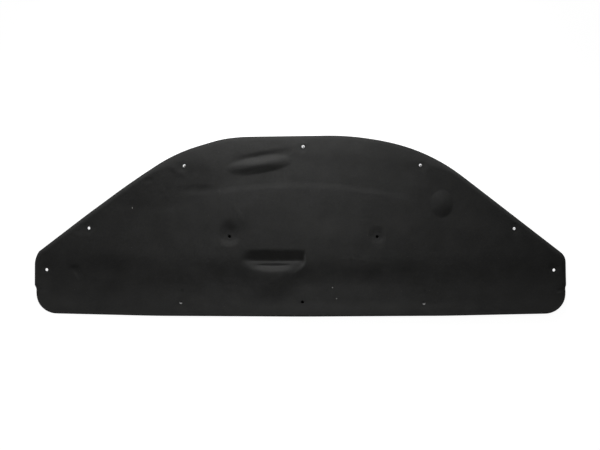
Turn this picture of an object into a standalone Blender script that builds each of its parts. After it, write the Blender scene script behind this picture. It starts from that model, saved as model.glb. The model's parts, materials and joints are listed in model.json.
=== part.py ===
"""Hood insulation pad, one moulded felt-faced glass-wool board that lies face up on its flat back.

Lengths are in metres. X runs along the pad, Y from its front edge to its crowned rear edge, and Z up
out of the face. The thickness of the pad is a height over the flat back, so every form of the face, such
as the pressed rim, the crown, the blister, the pocket and the clip seats, is a term of one height.
"""

import math
from dataclasses import dataclass

import bpy
import numpy as np
from mathutils.geometry import delaunay_2d_cdt

# Overall size
PAD_LENGTH = 1.3915
PAD_DEPTH = 0.4740
END_X = PAD_LENGTH / 2
REAR_Y = PAD_DEPTH / 2
FRONT_Y = -PAD_DEPTH / 2

# Thickness, at the cut edge, on the margins and in the middle
REAR_EDGE_THICK = 0.0042
FLANK_EDGE_THICK = 0.003
FRONT_EDGE_THICK = 0.0086
REAR_MARGIN_THICK = 0.0092
FLANK_MARGIN_THICK = 0.0136
FRONT_MARGIN_THICK = 0.0056
FRONT_LIFT = 0.0032
BODY_THICK = 0.0128
SWELL = 0.0026

# Pressed rim: how far inside the cut edge it ends, and the stretches over which one rim turns into another
REAR_RIM = 0.052
FLANK_RIM = 0.013
FRONT_RIM = 0.008
REAR_BEND = 0.70
ROUND_BEND = 1.0
REAR_REACH = 0.250
REAR_FADE = 0.150
FRONT_BAND = 0.030
LIP_DROP = 0.0013
LIP_WIDTH = 0.011

# Slow crown of the body, its swelling in the middle, and the slope from it to the front margin
CROWN_START = 0.030
CROWN_RUN = 0.170
REAR_MARGIN_FADE = 0.060
SWELL_X = 0.035
SWELL_HALF = 0.230
SWELL_FADE = 0.065
FRONT_MARGIN = 0.080
FRONT_SLOPE_RUN = 0.080
SLOPE_END_RUN = 0.25

# Low raised panel in the middle, with a crisp rear edge on a wide arc that ends crisply at the left
PANEL_RISE = 0.0018
PANEL_STEP = 0.020
PANEL_TOP_Y = 0.1165
PANEL_MIDDLE_X = -0.010
PANEL_ARC_RADIUS = 1.280
PANEL_LEFT = -0.222
PANEL_LEFT_FADE = 0.016
PANEL_RIGHT = 0.380
PANEL_RIGHT_FADE = 0.200
PANEL_LEVEL = 0.050
PANEL_FADE = 0.200

# Blister, a leaf-shaped swelling near the rear edge, and the groove behind it
BLISTER_X = -0.1070
BLISTER_INSET = 0.0768
BLISTER_HALF_LENGTH = 0.088
BLISTER_HALF_WIDTH = 0.0220
BLISTER_TURN = math.radians(10.8)
BLISTER_RISE = 0.0065
BLISTER_TWIST = 0.24
BLISTER_BLUNT = 0.35
BLISTER_RADIUS_POWER = 1.25
GROOVE_X = -0.1000
GROOVE_INSET = 0.0555
GROOVE_HALF_LENGTH = 0.090
GROOVE_HALF_WIDTH = 0.0165
GROOVE_TURN = math.radians(9.6)
GROOVE_DEPTH = 0.0024
GROOVE_BLUNT = 0.6

# Dome near the right flank
DOME_X = 0.3692
DOME_Y = 0.0590
DOME_HALF_WIDTH = 0.029
DOME_HALF_DEPTH = 0.036
DOME_RISE = 0.0066
DOME_RADIUS_POWER = 1.5

# Pocket with a boat-shaped front wall, from its middle to its left end and to its right end
POCKET_X = -0.0630
POCKET_VALLEY_Y = -0.0890
POCKET_LEFT_HALF = 0.0985
POCKET_RIGHT_HALF = 0.0780
POCKET_FOOT_HALF = 0.038
POCKET_REAR_WALL = 0.0270
POCKET_FRONT_WALL = 0.0380
POCKET_LEFT_WALL = 0.040
POCKET_RIGHT_WALL = 0.009
POCKET_HOLLOW = 0.80
POCKET_DEPTH = 0.0084

# Level stretch round the pocket, where the slope to the front margin starts further forward
SHELF_X = -0.0685
SHELF_HALF_LENGTH = 0.110
SHELF_REACH = 0.040

# Clip holes and the flat that a clip head presses on
CLIP_HOLE_RADIUS = 0.004
SEAT_RADIUS = 0.009

# Notch creases across the rim at both ends
NOTCH_Y = FRONT_Y + 0.0780
NOTCH_HALF_LENGTH = 0.030
NOTCH_HALF_WIDTH = 0.008
NOTCH_DEPTH = 0.0013

# Spacing of the points of the mesh, and rows and rings of them as shares of the form that they follow
EDGE_STEP = 0.0135
ARC_STEP = math.radians(18)
SHORTEST_STRAIGHT = 0.001
LATTICE_STEP = 0.021
BACK_STEP = 0.075
FORM_STEP = 0.0078
MERGE_GAP = 1e-6
HOLE_SIDES = 16
RIM_ROWS = (0.2, 0.45, 0.75, 1.0)
ROW_SLACK = 0.0006
SEAT_RINGS = (0.35, 0.7, 1.0)
POCKET_ROWS = (0.33, 0.67, 1.0)
POCKET_END_ROWS = (-0.6, 0.0, 0.25, 0.5, 0.75, 1.0)
BLISTER_RINGS = (0.28, 0.52, 0.77, 1.3, 1.7)
DOME_RINGS = (0.4, 0.75, 1.25)
FORM_RINGS = (0.5, 1.0)
WITHIN_EDGES = 1
SHARP_ANGLE = math.radians(35)

# Facing
FELT_COLOUR = (0.022, 0.022, 0.023)
FELT_ROUGHNESS = 0.92

# Outline corners, clockwise seen from the face, each as x, y and fillet radius
OUTLINE = (
    (-0.159, REAR_Y - 0.0032, 0.600),
    (0.121, REAR_Y + 0.0007, 0.670),
    (0.213, REAR_Y - 0.0128, 0.690),
    (0.342, REAR_Y - 0.0437, 0.480),
    (0.457, REAR_Y - 0.1318, 2.200),
    (END_X - 0.1332, REAR_Y - 0.2134, 1.200),
    (END_X - 0.0017, FRONT_Y + 0.1589, 0.033),
    (END_X, NOTCH_Y + 0.0046, 0.008),
    (END_X - 0.0022, NOTCH_Y - 0.0034, 0.008),
    (END_X + 0.0019, FRONT_Y + 0.0090, 0.055),
    (0.380, FRONT_Y + 0.0022, 4.000),
    (0.003, FRONT_Y - 0.0001, 6.000),
    (-0.376, FRONT_Y + 0.0021, 4.000),
    (0.0045 - END_X, FRONT_Y + 0.0097, 0.055),
    (0.0045 - END_X, NOTCH_Y - 0.0045, 0.008),
    (-END_X, NOTCH_Y + 0.0049, 0.008),
    (0.0005 - END_X, FRONT_Y + 0.1535, 0.086),
    (0.0112 - END_X, FRONT_Y + 0.1706, 0.007),
    (0.1362 - END_X, REAR_Y - 0.2076, 1.200),
    (-0.445, REAR_Y - 0.1230, 2.200),
    (-0.3265, REAR_Y - 0.0451, 0.420),
    (-0.209, REAR_Y - 0.0100, 0.350),
)

# Clips, each as x, how far in from the rear or the front edge, the thickness of its seat, and how far the
# dish round the seat reaches to the sides, rearward and forward
REAR_CLIPS = {
    "rear middle": (0.0072, 0.0281, 0.0076, 0.016, 0.016, 0.016),
    "rear left": (-0.3038, 0.0391, 0.0094, 0.018, 0.018, 0.018),
    "rear right": (0.3140, 0.0350, 0.0096, 0.018, 0.018, 0.018),
    "left shoulder": (0.14265 - END_X, 0.0395, 0.0122, 0.018, 0.018, 0.018),
    "right shoulder": (END_X - 0.13665, 0.0328, 0.0120, 0.018, 0.018, 0.018),
}
FRONT_CLIPS = {
    "front left": (-0.3130, 0.0352, 0.0062, 0.017, 0.032, 0.017),
    "front middle": (0.0054, 0.0381, 0.0064, 0.017, 0.017, 0.017),
    "front right": (0.3235, 0.0332, 0.0062, 0.017, 0.032, 0.017),
}

# Clips with a place of their own in y, each as x, y and the same four sizes
INNER_CLIPS = {
    "left end": (0.0320 - END_X, FRONT_Y + 0.1230, 0.0082, 0.018, 0.018, 0.018),
    "right end": (END_X - 0.0325, FRONT_Y + 0.1220, 0.0078, 0.018, 0.018, 0.018),
    "middle left": (-0.1855, -0.0276, 0.0122, 0.032, 0.050, 0.027),
    "middle right": (0.2007, -0.0279, 0.0134, 0.024, 0.030, 0.020),
}


@dataclass(frozen=True)
class Clip:
    """A clip hole in a flat seat, with how far its dish reaches to the sides, rearward and forward."""

    x: float
    y: float
    seat_thick: float
    aside: float
    rearward: float
    forward: float

    def reach(self, dx, dy):
        """The distance from the hole to the rim of the dish in each direction."""
        along = np.where(dy > 0, self.rearward, self.forward)
        away = np.maximum(np.hypot(dx, dy), 1e-9)
        return 1 / np.hypot(dx / away / self.aside, dy / away / along)


@dataclass(frozen=True)
class Form:
    """A soft bump, or with a negative rise a dent, on a turned elliptical foot with pointed or blunt tips."""

    x: float
    y: float
    half_length: float
    half_width: float
    turn: float
    rise: float
    blunt: float = 0.0

    def local(self, x, y):
        """Places along and across the form, as shares of its half length and half width."""
        c, s = math.cos(self.turn), math.sin(self.turn)
        dx, dy = x - self.x, y - self.y
        return (c * dx + s * dy) / self.half_length, (c * dy - s * dx) / self.half_width

    def height(self, x, y):
        """The rise times the square of one less the squared radius, and nothing past the foot."""
        u, v = self.local(x, y)
        return self.rise * np.clip(1 - np.abs(u) ** (2 + 2 * self.blunt) - v * v, 0, 1) ** 2


FORMS = {
    "rear left crease": Form(-0.272, 0.0950, 0.060, 0.0170, math.radians(2), -0.0016),
    "middle left lip": Form(-0.193, -0.0490, 0.020, 0.0100, 0.0, 0.0009),
    "panel ridge": Form(-0.160, 0.0300, 0.040, 0.0100, math.radians(-62), 0.0009),
    "left flank dent": Form(-0.398, 0.1195, 0.020, 0.0090, math.radians(4), -0.0012),
    "left clip ridge": Form(-0.322, 0.1440, 0.042, 0.0130, math.radians(-33), 0.0012),
    "left soft bump": Form(-0.356, 0.0290, 0.036, 0.0330, 0.0, 0.0012),
    "left shoulder lip": Form(-0.571, -0.0220, 0.020, 0.0110, math.radians(-20), 0.0010),
    "left end dent": Form(-0.590, -0.1130, 0.034, 0.0150, math.radians(-40), -0.0016),
    "left notch": Form(-END_X, NOTCH_Y, NOTCH_HALF_LENGTH, NOTCH_HALF_WIDTH, 0.0, -NOTCH_DEPTH),
    "right notch": Form(END_X, NOTCH_Y, NOTCH_HALF_LENGTH, NOTCH_HALF_WIDTH, 0.0, -NOTCH_DEPTH),
}


def smooth(t):
    """The cubic that rises from 0 to 1, level at both ends."""
    t = np.clip(t, 0, 1)
    return t * t * (3 - 2 * t)


def fillet_reaches(corners, radii):
    """How far each fillet reaches along its edges, two that meet on an edge being shortened alike."""
    back, ahead = np.roll(corners, 1, axis=0) - corners, np.roll(corners, -1, axis=0) - corners
    length = np.linalg.norm(ahead, axis=1)
    cosine = (back * ahead).sum(axis=1) / np.linalg.norm(back, axis=1) / length
    reach = radii / np.tan(np.arccos(np.clip(cosine, -1, 1)) / 2)
    room = (length - SHORTEST_STRAIGHT) / (reach + np.roll(reach, -1))
    return reach * np.minimum(1, np.minimum(room, np.roll(room, 1)))


def fillet(before, corner, after, reach):
    """Points of the arc that rounds a corner and touches both of its edges at the reach."""
    back, ahead = before - corner, after - corner
    back, ahead = back / np.linalg.norm(back), ahead / np.linalg.norm(ahead)
    half = math.acos(float(np.clip(back @ ahead, -1, 1))) / 2
    radius = reach * math.tan(half)
    middle = (back + ahead) / np.linalg.norm(back + ahead)
    centre = corner + middle * radius / math.sin(half)
    start, end = corner + back * reach - centre, corner + ahead * reach - centre
    swing = math.pi - 2 * half
    steps = max(2, math.ceil(swing / ARC_STEP), math.ceil(swing * radius / EDGE_STEP))
    share = np.linspace(0, 1, steps + 1)[:, None]
    return centre + (np.sin((1 - share) * swing) * start + np.sin(share * swing) * end) / math.sin(swing)


def spread_along(points, step, closed=True):
    """The line through the points, with more points where two lie further apart than the step."""
    ends = np.roll(points, -1, axis=0) if closed else points[1:]
    rows = []
    for start, end in zip(points, ends):
        count = max(1, round(float(np.linalg.norm(end - start)) / step))
        rows.append(start + (end - start) * (np.arange(count) / count)[:, None])
    if not closed:
        rows.append(points[-1:])
    return np.concatenate(rows)


def make_outline():
    """The closed outline, clockwise, centred on its own box."""
    corners = np.array([corner[:2] for corner in OUTLINE])
    reaches = fillet_reaches(corners, np.array([radius for _, _, radius in OUTLINE]))
    arcs = []
    for index, reach in enumerate(reaches):
        before, after = corners[index - 1], corners[(index + 1) % len(corners)]
        arcs.append(fillet(before, corners[index], after, reach))
    outline = spread_along(np.concatenate(arcs), EDGE_STEP)
    return outline - (outline.min(axis=0) + outline.max(axis=0)) / 2


def edge_y(outline, x, pick):
    """The place in y where the outline crosses x, the largest or the smallest as pick says."""
    ends = np.roll(outline, -1, axis=0)
    crossing = (outline[:, 0] - x) * (ends[:, 0] - x) <= 0
    start, end = outline[crossing], ends[crossing]
    share = (x - start[:, 0]) / (end[:, 0] - start[:, 0])
    return float(pick(start[:, 1] + share * (end[:, 1] - start[:, 1])))


def place_clips(outline):
    """The clips: the rear row hangs from the edge behind it, and the front row from the front edge."""
    clips = {name: Clip(*place) for name, place in INNER_CLIPS.items()}
    for name, (x, inset, *seat) in REAR_CLIPS.items():
        clips[name] = Clip(x, edge_y(outline, x, max) - inset, *seat)
    for name, (x, inset, *seat) in FRONT_CLIPS.items():
        clips[name] = Clip(x, edge_y(outline, x, min) + inset, *seat)
    return clips


def distance_inside(outline, points):
    """How far each point lies from the outline."""
    nearest = np.full(len(points), np.inf)
    for start, end in zip(outline, np.roll(outline, -1, axis=0)):
        run = end - start
        share = np.clip((points - start) @ run / (run @ run), 0, 1)
        nearest = np.minimum(nearest, np.linalg.norm(points - start - share[:, None] * run, axis=1))
    return nearest


def is_inside(outline, points):
    """Whether each point lies within the outline, by counting the edges crossed on the way out in x."""
    crossings = np.zeros(len(points), int)
    for (x0, y0), (x1, y1) in zip(outline, np.roll(outline, -1, axis=0)):
        if y0 == y1:
            continue
        spans = (y0 > points[:, 1]) != (y1 > points[:, 1])
        crossings += spans & (points[:, 0] < x0 + (points[:, 1] - y0) * (x1 - x0) / (y1 - y0))
    return crossings % 2 == 1


def rear_share(x):
    """One along the rear edge, and nothing along the flanks."""
    return 1 - smooth((np.abs(x) - REAR_REACH) / REAR_FADE)


def front_share(y):
    """One along the front edge, and nothing further back."""
    return 1 - smooth((y - FRONT_Y - FRONT_BAND) / FRONT_BAND)


def by_edge(x, y, rear, flank, front):
    """A size that has one value at the rear edge, one at the flanks and one at the front edge."""
    share = front_share(y)
    return (flank + (rear - flank) * rear_share(x)) * (1 - share) + front * share


def slope_share(x, y):
    """One on the body and nothing on the front margin.

    The slope lies further forward at the pocket, and runs longer towards both ends.
    """
    reach = SHELF_REACH * (1 - smooth(np.abs(x - SHELF_X) / SHELF_HALF_LENGTH))
    run = FRONT_SLOPE_RUN * (1 + SLOPE_END_RUN * (x / END_X) ** 2)
    return smooth((y + reach - FRONT_Y - FRONT_MARGIN) / run)


def body_height(inside, x, y):
    """The thickness without the rim: the crown with its swelling, the slope and the front margin."""
    behind = rear_share(x) * smooth(y / REAR_MARGIN_FADE)
    low = FLANK_MARGIN_THICK + (REAR_MARGIN_THICK - FLANK_MARGIN_THICK) * behind
    high = BODY_THICK + SWELL * (1 - smooth((np.abs(x - SWELL_X) - SWELL_HALF) / SWELL_FADE))
    crown = low + (high - low) * smooth((inside - CROWN_START) / CROWN_RUN)
    front = FRONT_MARGIN_THICK + FRONT_LIFT * np.clip(1 - (y - FRONT_Y) / FRONT_MARGIN, 0, 1) ** 2
    return front + (crown - FRONT_MARGIN_THICK) * slope_share(x, y)


def rim_height(body, inside, x, y):
    """The body with its rise from the cut edge: nearly a plane with a lip at the rear edge, round elsewhere."""
    share = np.clip(inside / by_edge(x, y, REAR_RIM, FLANK_RIM, FRONT_RIM), 0, 1)
    bend = by_edge(x, y, REAR_BEND, ROUND_BEND, ROUND_BEND)
    rise = share * (1 + bend - bend * share)
    rise = rise + (1 - bend) * (smooth(share) - share) * share
    low = by_edge(x, y, REAR_EDGE_THICK, FLANK_EDGE_THICK, FRONT_EDGE_THICK)
    lip = by_edge(x, y, LIP_DROP, 0.0, 0.0) * np.clip(1 - inside / LIP_WIDTH, 0, 1) ** 2
    return low + (body - low) * rise - lip


def blister_form():
    """The leaf shape of the blister, set in from the rear edge."""
    size = (BLISTER_HALF_LENGTH, BLISTER_HALF_WIDTH, BLISTER_TURN, BLISTER_RISE, BLISTER_BLUNT)
    return Form(BLISTER_X, REAR_Y - BLISTER_INSET, *size)


def groove_form():
    """The shallow groove along the rear side of the blister."""
    size = (GROOVE_HALF_LENGTH, GROOVE_HALF_WIDTH, GROOVE_TURN, -GROOVE_DEPTH, GROOVE_BLUNT)
    return Form(GROOVE_X, REAR_Y - GROOVE_INSET, *size)


def dome_form():
    """The foot of the dome."""
    return Form(DOME_X, DOME_Y, DOME_HALF_WIDTH, DOME_HALF_DEPTH, 0.0, DOME_RISE)


def blister_height(x, y):
    """A ridged swelling with a crisp foot, whose crest crosses from its rear side to its front side."""
    leaf = blister_form()
    u, v = leaf.local(x, y)
    v = v + BLISTER_TWIST * u * np.clip(1 - v * v, 0, 1)
    away = np.hypot(np.abs(u) ** (1 + leaf.blunt), v)
    return leaf.rise * np.clip(1 - away**BLISTER_RADIUS_POWER, 0, 1)


def dome_height(x, y):
    """A dome with a crisp foot."""
    u, v = dome_form().local(x, y)
    return DOME_RISE * np.clip(1 - np.hypot(u, v) ** DOME_RADIUS_POWER, 0, 1)


def panel_height(x, y):
    """A low step along an arc, level behind its edge, that dies out forward and at both ends."""
    below = PANEL_TOP_Y - (x - PANEL_MIDDLE_X) ** 2 / (2 * PANEL_ARC_RADIUS) - y
    ends = smooth((x - PANEL_LEFT) / PANEL_LEFT_FADE) * smooth((PANEL_RIGHT - x) / PANEL_RIGHT_FADE)
    return PANEL_RISE * smooth(below / PANEL_STEP) * (1 - smooth((below - PANEL_LEVEL) / PANEL_FADE)) * ends


def pocket_depth(x, y):
    """A plane rear wall, a hollow front wall that narrows, and a smooth step at each end."""
    aside, v = x - POCKET_X, y - POCKET_VALLEY_Y
    rise = np.where(v > 0, v / POCKET_REAR_WALL, -v / POCKET_FRONT_WALL)
    half = np.where(aside < 0, POCKET_LEFT_HALF, POCKET_RIGHT_HALF)
    narrowing = np.where(v < 0, (POCKET_FOOT_HALF - half) * rise**2, 0)
    end_wall = np.where(aside < 0, POCKET_LEFT_WALL, POCKET_RIGHT_WALL)
    ends = smooth((half + narrowing - np.abs(aside)) / end_wall)
    hollow = 1 - np.where(v < 0, POCKET_HOLLOW, 0) * rise
    return POCKET_DEPTH * np.clip(1 - rise, 0, 1) * hollow * ends


def face_height(outline, clips, points):
    """The thickness of the pad over its flat back at each point."""
    x, y = points.T
    inside = distance_inside(outline, points)
    height = rim_height(body_height(inside, x, y), inside, x, y)
    height = height + panel_height(x, y) + blister_height(x, y) + dome_height(x, y)
    height = height + groove_form().height(x, y) - pocket_depth(x, y)
    for form in FORMS.values():
        height = height + form.height(x, y)
    for clip in clips.values():
        dx, dy = x - clip.x, y - clip.y
        away = np.hypot(dx, dy)
        share = smooth((away - SEAT_RADIUS) / (clip.reach(dx, dy) - SEAT_RADIUS))
        height = clip.seat_thick + (height - clip.seat_thick) * share
    return height


def circle(x, y, radius, count):
    """A ring of points, counter-clockwise."""
    angle = 2 * math.pi * np.arange(count) / count
    return np.stack([x + radius * np.cos(angle), y + radius * np.sin(angle)], axis=1)


def form_rings(form, shares):
    """Rings at shares of an elliptical foot, spaced along it by the form step, and its centre."""
    c, s = math.cos(form.turn), math.sin(form.turn)
    round_trip = 2 * math.pi * math.sqrt((form.half_length**2 + form.half_width**2) / 2)
    rings = [np.array([[form.x, form.y]])]
    for share in shares:
        ring = circle(0, 0, share, max(8, round(share * round_trip / FORM_STEP)))
        tip = np.abs(ring[:, 0] / share) ** (1 / (1 + form.blunt))
        along, across = share * np.sign(ring[:, 0]) * tip * form.half_length, ring[:, 1] * form.half_width
        rings.append(np.stack([form.x + c * along - s * across, form.y + s * along + c * across], axis=1))
    return rings


def clip_rings(clip):
    """Rings from the flat of the seat out to the rim of its dish."""
    rings = [circle(clip.x, clip.y, SEAT_RADIUS, HOLE_SIDES)]
    for share in SEAT_RINGS:
        unit = circle(0, 0, 1, round(HOLE_SIDES * (1 + share / 2)))
        reach = SEAT_RADIUS + share * (clip.reach(unit[:, 0], unit[:, 1]) - SEAT_RADIUS)
        rings.append(np.array([clip.x, clip.y]) + unit * reach[:, None])
    return rings


def pocket_end(half, end_wall, row):
    """A line down one end of the pocket, a share of its end wall in from the edge, as places from its middle."""
    share = np.array([0.0, *POCKET_ROWS])
    rear = np.stack([0 * share + half, share * POCKET_REAR_WALL], axis=1)
    front = np.stack([half + (POCKET_FOOT_HALF - half) * share**2, -share * POCKET_FRONT_WALL], axis=1)
    return np.concatenate([rear[:0:-1], front]) - (row * end_wall, 0)


def pocket_creases():
    """The rear edge and the valley of the pocket, as open lines."""
    ends = np.array([-POCKET_LEFT_HALF, POCKET_RIGHT_HALF])
    lines = [np.stack([ends, [v, v]], axis=1) for v in (POCKET_REAR_WALL, 0.0)]
    return [np.array([POCKET_X, POCKET_VALLEY_Y]) + line for line in lines]


def pocket_points():
    """Points on lines down both ends of the pocket and on rows across its walls."""
    lines = []
    for row in POCKET_END_ROWS:
        lines.append(pocket_end(POCKET_LEFT_HALF, POCKET_LEFT_WALL, row) * (-1, 1))
        lines.append(pocket_end(POCKET_RIGHT_HALF, POCKET_RIGHT_WALL, row))
    left, right = (lines[index] for index in (2, 3))
    lines += [np.stack([start, end]) for start, end in zip(left, right)]
    points = np.concatenate([spread_along(line, FORM_STEP, closed=False) for line in lines])
    return np.array([POCKET_X, POCKET_VALLEY_Y]) + points


def panel_lines():
    """The foot, the middle and the top of the step round the raised panel."""
    x = np.arange(PANEL_LEFT, PANEL_RIGHT, EDGE_STEP)
    top = PANEL_TOP_Y - (x - PANEL_MIDDLE_X) ** 2 / (2 * PANEL_ARC_RADIUS)
    return [np.stack([x, top - drop], axis=1) for drop in (0.0, PANEL_STEP / 2, PANEL_STEP)]


def rim_points(outline):
    """Rows of points inside the outline, at shares of the rim's width."""
    run = np.roll(outline, -1, axis=0) - np.roll(outline, 1, axis=0)
    inward = np.stack([run[:, 1], -run[:, 0]], axis=1) / np.linalg.norm(run, axis=1)[:, None]
    width = by_edge(*outline.T, REAR_RIM, FLANK_RIM, FRONT_RIM)
    rows = []
    for share in RIM_ROWS:
        row = outline + inward * (share * width)[:, None]
        rows.append(row[distance_inside(outline, row) > share * width - ROW_SLACK])
    return np.concatenate(rows)


def lattice(outline, step):
    """A triangular lattice over the box of the outline."""
    low, high = outline.min(axis=0), outline.max(axis=0)
    columns = np.arange(low[0], high[0], step)
    rows = np.arange(low[1], high[1], step * math.sqrt(3) / 2)
    x, y = np.meshgrid(columns, rows)
    x[1::2] += step / 2
    return np.stack([x.ravel(), y.ravel()], axis=1)


def clear_of(points, others, gap):
    """The points that keep the gap from all the others."""
    keep = np.ones(len(points), bool)
    for other in others:
        keep &= np.hypot(*(points - other).T) > gap
    return points[keep]


def thinned(points, gap):
    """The points, without those that come nearer than the gap to one before them."""
    kept = []
    for point in points:
        if all(math.hypot(*(point - other)) > gap for other in kept):
            kept.append(point)
    return np.array(kept)


def triangulate(outline, holes, lines, loose):
    """Triangles, counter-clockwise, between the outline, the holes, the lines and the loose points."""
    points, edges = [], []
    count = 0
    for chain, closed in [(outline, True)] + [(hole, True) for hole in holes] + lines:
        index = np.arange(count, count + len(chain))
        pairs = np.stack([index, np.roll(index, -1)], axis=1)
        edges += (pairs if closed else pairs[:-1]).tolist()
        points.append(chain)
        count += len(chain)
    points = np.concatenate(points + [loose])
    flat, _, faces, *_ = delaunay_2d_cdt(points.tolist(), edges, [], WITHIN_EDGES, MERGE_GAP)
    flat, faces = np.array(flat), np.array(faces)
    middle = flat[faces].mean(axis=1)
    keep = np.ones(len(faces), bool)
    for hole in holes:
        keep &= ~is_inside(hole, middle)
    return flat, faces[keep]


def nearest_index(flat, chain):
    """The index of each point of a chain among the triangulated points."""
    return np.array([int(np.hypot(*(flat - point).T).argmin()) for point in chain])


def make_face(outline, clips, holes):
    """The points and triangles of the moulded face, in the plane."""
    feet = [form_rings(form, (1.0,))[1] for form in (blister_form(), dome_form())]
    seats = [ring for clip in clips.values() for ring in clip_rings(clip)]
    pocket = [spread_along(line, FORM_STEP, closed=False) for line in pocket_creases()]
    fixed = np.concatenate([*holes, *seats, *pocket, *feet])

    rings = form_rings(blister_form(), BLISTER_RINGS) + form_rings(dome_form(), DOME_RINGS)
    for form in FORMS.values():
        rings += form_rings(form, FORM_RINGS)
    shaped = np.concatenate(rings + [pocket_points()] + panel_lines())
    shaped = thinned(clear_of(shaped, fixed, FORM_STEP / 2), FORM_STEP / 2)
    shaped = shaped[is_inside(outline, shaped)]
    shaped = shaped[distance_inside(outline, shaped) > FRONT_RIM / 2]
    rim = clear_of(rim_points(outline), np.concatenate([fixed, shaped]), FORM_STEP / 2)
    rim = thinned(rim, FRONT_RIM / 2)
    grid = lattice(outline, LATTICE_STEP)
    grid = grid[is_inside(outline, grid)]
    grid = clear_of(grid, np.concatenate([outline, fixed, shaped, rim]), LATTICE_STEP / 2)

    rings = [ring for ring in seats if distance_inside(outline, ring).min() > FRONT_RIM / 2]
    lines = [(ring, True) for ring in rings + feet] + [(line, False) for line in pocket]
    return triangulate(outline, holes, lines, np.concatenate([shaped, rim, grid]))


def make_mesh(name):
    """The pad as one closed mesh: the moulded face, the flat back and the cut walls between them."""
    outline = make_outline()
    clips = place_clips(outline)
    holes = [circle(clip.x, clip.y, CLIP_HOLE_RADIUS, HOLE_SIDES) for clip in clips.values()]
    face_points, face = make_face(outline, clips, holes)
    grid = lattice(outline, BACK_STEP)
    grid = grid[is_inside(outline, grid)]
    grid = clear_of(grid, np.concatenate([outline, *holes]), BACK_STEP / 4)
    back_points, back = triangulate(outline, holes, [], grid)

    height = face_height(outline, clips, face_points)
    points = [np.column_stack([face_points, height]), np.column_stack([back_points, 0 * back_points[:, 0]])]
    faces = [face, back[:, ::-1] + len(face_points)]
    for chain in (outline[::-1], *(hole[::-1] for hole in holes)):
        over = nearest_index(face_points, chain)
        under = nearest_index(back_points, chain) + len(face_points)
        faces.append(np.stack([over, under, np.roll(under, -1)], axis=1))
        faces.append(np.stack([over, np.roll(under, -1), np.roll(over, -1)], axis=1))
    mesh = bpy.data.meshes.new(name)
    mesh.from_pydata(np.concatenate(points).tolist(), [], np.concatenate(faces).tolist())
    mesh.shade_smooth()
    mesh.set_sharp_from_angle(angle=SHARP_ANGLE)
    return mesh


def black_felt():
    """The material of the nonwoven facing."""
    material = bpy.data.materials.new("black_felt")
    material.use_nodes = True
    shader = material.node_tree.nodes["Principled BSDF"]
    shader.inputs["Base Color"].default_value = (*FELT_COLOUR, 1)
    shader.inputs["Roughness"].default_value = FELT_ROUGHNESS
    shader.inputs["Metallic"].default_value = 0
    return material


def main():
    for old in list(bpy.data.objects):
        bpy.data.objects.remove(old)
    mesh = make_mesh("insulation_pad")
    mesh.materials.append(black_felt())
    pad = bpy.data.objects.new("insulation_pad", mesh)
    bpy.context.scene.collection.objects.link(pad)


main()
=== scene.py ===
"""Hood insulation pad: one moulded board faced with black needled felt, lying face up on a pale floor.

Lengths are in metres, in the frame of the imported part: X runs along the pad, Y from its straight front edge
to its crowned rear edge, and Z up out of the moulded face. The thickness of the pad is one height over its
flat back, the sum of the pressed rim, the crown, the blister, the dome, the pocket, small creases and dents,
and the flat clip seats. The ends, the edges and the places of the clip holes are read from the frame.
"""

from __future__ import annotations

import json
import logging
import math
from dataclasses import dataclass, field
from enum import Enum
from typing import Any, Mapping, Sequence

import bpy
import numpy as np
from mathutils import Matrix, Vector
from mathutils.geometry import delaunay_2d_cdt


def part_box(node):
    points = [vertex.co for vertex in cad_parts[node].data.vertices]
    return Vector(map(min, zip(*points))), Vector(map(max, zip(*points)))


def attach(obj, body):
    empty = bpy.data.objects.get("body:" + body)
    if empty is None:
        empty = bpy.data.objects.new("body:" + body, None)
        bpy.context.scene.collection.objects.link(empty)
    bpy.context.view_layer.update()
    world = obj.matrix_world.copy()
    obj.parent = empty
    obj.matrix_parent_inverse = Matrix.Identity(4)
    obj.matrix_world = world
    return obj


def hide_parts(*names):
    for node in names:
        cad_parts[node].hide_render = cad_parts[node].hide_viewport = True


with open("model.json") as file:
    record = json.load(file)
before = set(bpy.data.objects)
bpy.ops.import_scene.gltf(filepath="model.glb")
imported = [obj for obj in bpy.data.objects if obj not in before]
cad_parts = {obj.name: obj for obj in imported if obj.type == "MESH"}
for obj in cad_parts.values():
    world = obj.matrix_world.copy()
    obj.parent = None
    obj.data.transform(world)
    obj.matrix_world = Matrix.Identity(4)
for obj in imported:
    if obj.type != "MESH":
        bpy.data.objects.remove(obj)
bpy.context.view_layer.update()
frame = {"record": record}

Array = np.ndarray
Links = Mapping[str | int, Any]

PAD_NODE = "insulation_pad"
PAD_LOW, PAD_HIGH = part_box(PAD_NODE)
END_X = PAD_HIGH.x
REAR_Y = PAD_HIGH.y
FRONT_Y = PAD_LOW.y
NOTCH_Y = FRONT_Y + 0.0780

log = logging.getLogger("pad")


def smooth(share: Array) -> Array:
    """The cubic that rises from 0 to 1, level at both ends: 3 t squared less 2 t cubed.

    Args:
        share: How far along, of any size; it is held between 0 and 1.

    Returns:
        The eased share.
    """
    share = np.clip(share, 0, 1)
    return share * share * (3 - 2 * share)


@dataclass(frozen=True)
class Corner:
    """One corner of the outline and the radius that rounds it."""

    x: float
    y: float
    radius: float


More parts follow.
